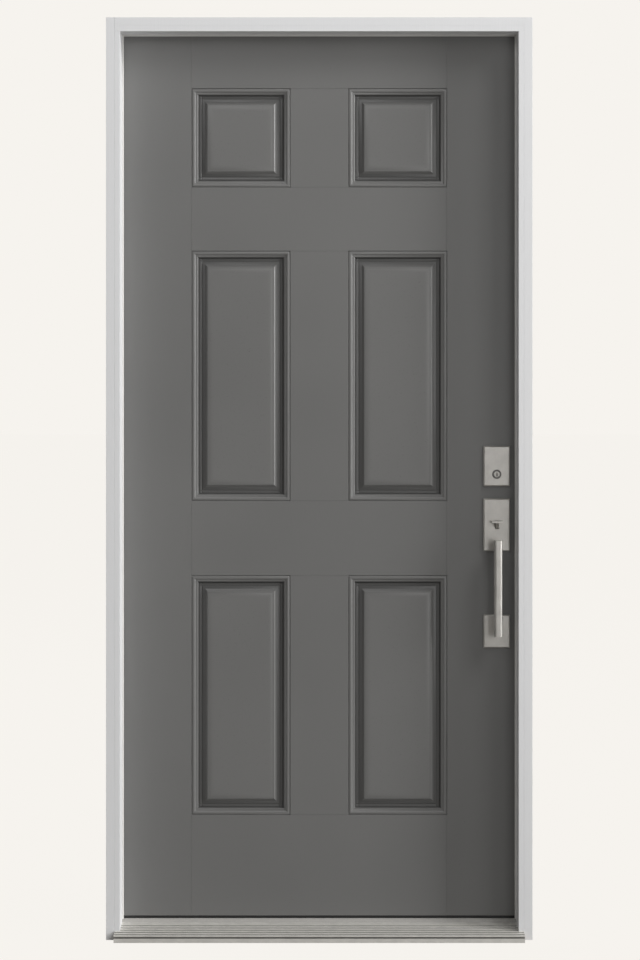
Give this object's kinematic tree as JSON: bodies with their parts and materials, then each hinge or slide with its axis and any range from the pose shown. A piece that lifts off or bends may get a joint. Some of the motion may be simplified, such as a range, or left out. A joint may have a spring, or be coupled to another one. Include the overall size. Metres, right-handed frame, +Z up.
{
  "type": "panelled front door",
  "caption": "Dark grey panelled front door in a white jamb frame with a sill, butt hinges, deadbolt and a grip handle set.",
  "frame": {"origin": "floor level under the sill, midway between the jambs, in the plane of their outer edges", "axes": "+Z up, +Y from outside to inside, +X from the hinge side to the lock side as seen from outside"},
  "size_m": [0.955, 0.19, 2.066],
  "materials": {
    "frame_paint": "smooth white satin paint on jamb boards",
    "sill_aluminium": "mill finish, slightly warm, drawn along its length",
    "sill_base": "bare composite",
    "cap_composite": "satin",
    "seal": "matt foam seal in a thin skin",
    "pad_foam": "matt foam",
    "leaf_paint": "dark grey satin paint on a moulded skin",
    "core_foam": "cut foam",
    "core_wood": "bare sawn wood",
    "sweep_vinyl": "matt vinyl",
    "plated_screws": "plated",
    "hinge_nickel": "satin nickel",
    "zinc_steel": "bright zinc",
    "satin_nickel": "satin nickel, brushed"
  },
  "bodies": {
    "frame": {"hinge_jamb": "frame_paint", "strike_jamb": "frame_paint", "head_jamb": "frame_paint", "sill_extrusion": "sill_aluminium", "sill_substrate": "sill_base", "sill_cap": "cap_composite", "weatherstrip_hinge_side": "seal", "weatherstrip_strike_side": "seal", "weatherstrip_head": "seal", "corner_seal_pads": "pad_foam", "frame_screws": "plated_screws", "latch_strike_plate": "satin_nickel", "deadbolt_strike_plate": "satin_nickel", "strike_screws": "plated_screws", "top_hinge_jamb_leaf": "hinge_nickel", "middle_hinge_jamb_leaf": "hinge_nickel", "bottom_hinge_jamb_leaf": "hinge_nickel", "top_hinge_pin": "hinge_nickel", "middle_hinge_pin": "hinge_nickel", "bottom_hinge_pin": "hinge_nickel", "hinge_jamb_screws": "plated_screws"},
    "door": {"exterior_skin": "leaf_paint", "interior_skin": "leaf_paint", "foam_core": "core_foam", "hinge_stile": "core_wood", "lock_stile_head": "core_wood", "lock_stile_middle": "core_wood", "lock_stile_foot": "core_wood", "top_rail": "core_wood", "bottom_rail": "core_wood", "lock_block": "core_wood", "door_sweep": "sweep_vinyl", "top_hinge_door_leaf": "hinge_nickel", "middle_hinge_door_leaf": "hinge_nickel", "bottom_hinge_door_leaf": "hinge_nickel", "hinge_door_screws": "plated_screws", "deadbolt_plate": "satin_nickel", "deadbolt_cylinder": "satin_nickel", "deadbolt_case": "zinc_steel", "deadbolt_face_plate": "satin_nickel", "deadbolt_inner_plate": "satin_nickel", "deadbolt_screws": "plated_screws", "handle_upper_plate": "satin_nickel", "thumb_pin": "plated_screws", "grip_bar": "satin_nickel", "handle_lower_plate": "satin_nickel", "grip_bolt": "plated_screws", "latch_case": "zinc_steel", "latch_face_plate": "satin_nickel", "lever_rose": "satin_nickel", "handle_screws": "plated_screws", "face_plate_screws": "plated_screws"},
    "key_plug": {"key_plug": "satin_nickel"},
    "deadbolt_bolt": {"deadbolt_bolt": "zinc_steel"},
    "thumb_turn": {"thumb_turn": "satin_nickel", "tailpiece": "zinc_steel"},
    "thumb_piece": {"thumb_piece": "satin_nickel"},
    "latch_bolt": {"latch_bolt": "zinc_steel"},
    "inner_lever": {"inner_lever": "satin_nickel", "spindle": "zinc_steel"}
  },
  "joints": [
    {"name": "door_swing", "type": "hinge", "parent": "frame", "child": "door", "pos_m": [-0.45675, 0.123, 0], "axis": [0, 0, 1], "range_deg": [0, 100]},
    {"name": "key_turn", "type": "hinge", "parent": "door", "child": "key_plug", "pos_m": [0.402, 0.07, 1.0395], "axis": [0, 1, 0], "range_deg": [-90, 90]},
    {"name": "thumb_turn", "type": "hinge", "parent": "door", "child": "thumb_turn", "pos_m": [0.402, 0.125, 1.0395], "axis": [0, 1, 0], "range_deg": [0, 90]},
    {"name": "deadbolt_throw", "type": "slide", "parent": "door", "child": "deadbolt_bolt", "axis": [1, 0, 0], "range_m": [0, 0.0254]},
    {"name": "lever_turn", "type": "hinge", "parent": "door", "child": "inner_lever", "pos_m": [0.402, 0.13, 0.8998], "axis": [0, -1, 0], "range_deg": [0, 50], "stiffness_Nm_per_rad": 1.5, "springref_deg": -17.19},
    {"name": "latch_retract", "type": "slide", "parent": "door", "child": "latch_bolt", "axis": [-1, 0, 0], "range_m": [0, 0.012]},
    {"name": "thumb_press", "type": "hinge", "parent": "door", "child": "thumb_piece", "pos_m": [0.402, 0.0675, 0.9238], "axis": [1, 0, 0], "range_deg": [0, 12]}
  ],
  "couplings": [
    {"joint": "deadbolt_throw", "follows": "thumb_turn", "m_per_rad": 0.01617},
    {"joint": "latch_retract", "follows": "lever_turn", "m_per_rad": 0.01374},
    {"joint": "thumb_press", "follows": "lever_turn", "ratio": 0.2399}
  ]
}
